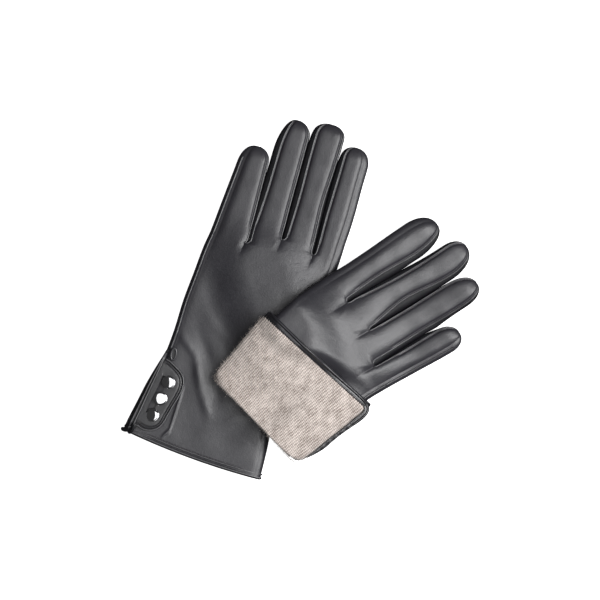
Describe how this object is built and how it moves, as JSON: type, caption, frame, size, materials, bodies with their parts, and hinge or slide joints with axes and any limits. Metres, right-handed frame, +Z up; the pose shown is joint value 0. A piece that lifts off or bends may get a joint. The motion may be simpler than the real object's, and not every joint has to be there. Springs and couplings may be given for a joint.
{
  "type": "pair of leather gloves",
  "caption": "Pair of lined leather dress gloves lying palm down, one cuff turned back to show its knit lining, the other closed by a snapped wrist flap.",
  "frame": {"origin": "middle of the pair's footprint, on the surface it lies on", "axes": "+Z up from that surface; +Y the way the left glove's fingers roughly point; +X to the right, where the right glove's fingers reach"},
  "size_m": [0.2574, 0.2592, 0.0383],
  "materials": {
    "leather": "smooth dyed nappa with a soft sheen",
    "binding_leather": "smooth dyed nappa, folded",
    "flap_leather": "smooth dyed nappa with a topstitched edge",
    "backing_leather": "matt split leather",
    "fourchette_leather": "smooth dyed nappa",
    "knit_lining": "soft ribbed wool knit, slightly fuzzy",
    "snap_metal": "plain plated",
    "cap_metal": "polished"
  },
  "bodies": {
    "left_glove": {"left_trank": "leather", "left_hand_lining": "knit_lining", "left_hem_binding": "binding_leather", "left_thumb": "leather", "left_thumb_lining": "knit_lining", "left_flap_root": "flap_leather", "left_snap_studs": "snap_metal"},
    "left_flap": {"left_flap": "flap_leather", "left_flap_backing": "backing_leather", "left_snap_caps": "cap_metal", "left_snap_sockets": "snap_metal"},
    "right_glove": {"right_trank": "leather", "right_hand_lining": "knit_lining", "right_hem_binding": "binding_leather", "right_thumb": "leather", "right_thumb_lining": "knit_lining", "right_flap_root": "flap_leather", "right_snap_studs": "snap_metal", "right_flap": "flap_leather", "right_flap_backing": "backing_leather", "right_snap_caps": "cap_metal", "right_snap_sockets": "snap_metal"},
    "left_index": {"left_index_stall": "leather", "left_index_lining": "knit_lining", "left_index_fourchette": "fourchette_leather"},
    "left_middle": {"left_middle_stall": "leather", "left_middle_lining": "knit_lining", "left_middle_fourchettes": "fourchette_leather"},
    "left_ring": {"left_ring_stall": "leather", "left_ring_lining": "knit_lining", "left_ring_fourchettes": "fourchette_leather"},
    "left_little": {"left_little_stall": "leather", "left_little_lining": "knit_lining", "left_little_fourchette": "fourchette_leather"},
    "right_index": {"right_index_stall": "leather", "right_index_lining": "knit_lining", "right_index_fourchette": "fourchette_leather"},
    "right_middle": {"right_middle_stall": "leather", "right_middle_lining": "knit_lining", "right_middle_fourchettes": "fourchette_leather"},
    "right_ring": {"right_ring_stall": "leather", "right_ring_lining": "knit_lining", "right_ring_fourchettes": "fourchette_leather"},
    "right_little": {"right_little_stall": "leather", "right_little_lining": "knit_lining", "right_little_fourchette": "fourchette_leather"}
  },
  "joints": [
    {"name": "lift_off", "type": "slide", "parent": "left_glove", "child": "right_glove", "axis": [0, 0, 1], "range_m": [0, 0.08]},
    {"name": "left_flap_open", "type": "hinge", "parent": "left_glove", "child": "left_flap", "pos_m": [-0.09764, -0.0422, 0.0113], "axis": [-0.4194, -0.9078, 0], "range_deg": [0, 140]},
    {"name": "left_index_bend", "type": "hinge", "parent": "left_glove", "child": "left_index", "pos_m": [0.02056, 0.03397, 0.005], "axis": [0.9588, -0.284, 0], "range_deg": [0, 80]},
    {"name": "left_middle_bend", "type": "hinge", "parent": "left_glove", "child": "left_middle", "pos_m": [-0.00049, 0.04458, 0.005], "axis": [0.9588, -0.284, 0], "range_deg": [0, 80]},
    {"name": "left_ring_bend", "type": "hinge", "parent": "left_glove", "child": "left_ring", "pos_m": [-0.02303, 0.05126, 0.005], "axis": [0.9588, -0.284, 0], "range_deg": [0, 80]},
    {"name": "left_little_bend", "type": "hinge", "parent": "left_glove", "child": "left_little", "pos_m": [-0.0511, 0.04977, 0.005], "axis": [0.9588, -0.284, 0], "range_deg": [0, 80]},
    {"name": "right_index_bend", "type": "hinge", "parent": "right_glove", "child": "right_index", "pos_m": [0.03095, 0.01136, 0.01551], "axis": [0.5401, -0.8317, -0.1289], "range_deg": [0, 80]},
    {"name": "right_middle_bend", "type": "hinge", "parent": "right_glove", "child": "right_middle", "pos_m": [0.04667, -0.00824, 0.01273], "axis": [0.5401, -0.8317, -0.1289], "range_deg": [0, 80]},
    {"name": "right_ring_bend", "type": "hinge", "parent": "right_glove", "child": "right_ring", "pos_m": [0.06001, -0.02879, 0.00932], "axis": [0.5401, -0.8317, -0.1289], "range_deg": [0, 80]},
    {"name": "right_little_bend", "type": "hinge", "parent": "right_glove", "child": "right_little", "pos_m": [0.06375, -0.05199, 0.00756], "axis": [0.5401, -0.8317, -0.1289], "range_deg": [0, 80]}
  ]
}
